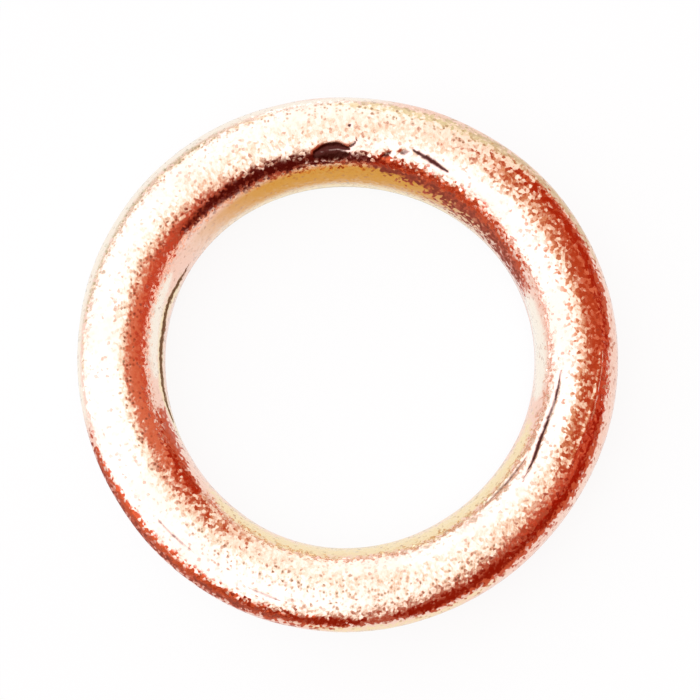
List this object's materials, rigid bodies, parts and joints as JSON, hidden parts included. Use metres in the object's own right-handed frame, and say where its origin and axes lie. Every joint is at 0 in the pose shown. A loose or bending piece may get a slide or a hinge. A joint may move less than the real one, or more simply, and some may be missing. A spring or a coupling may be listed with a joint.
{
  "type": "crush washer",
  "caption": "Hollow copper ring with a round section, rolled from one strip with a lap seam in the bore; it crushes under a plug or banjo bolt to make a seal.",
  "frame": {"origin": "on the bore axis, in the plane of the seat that the washer lies on", "axes": "+Z along the bore axis, from the seat to the crown"},
  "size_m": [0.0206, 0.0206, 0.003],
  "materials": {
    "copper": "soft annealed copper, satin, finely grained"
  },
  "bodies": {
    "root": {"crush_washer": "copper"}
  },
  "joints": []
}
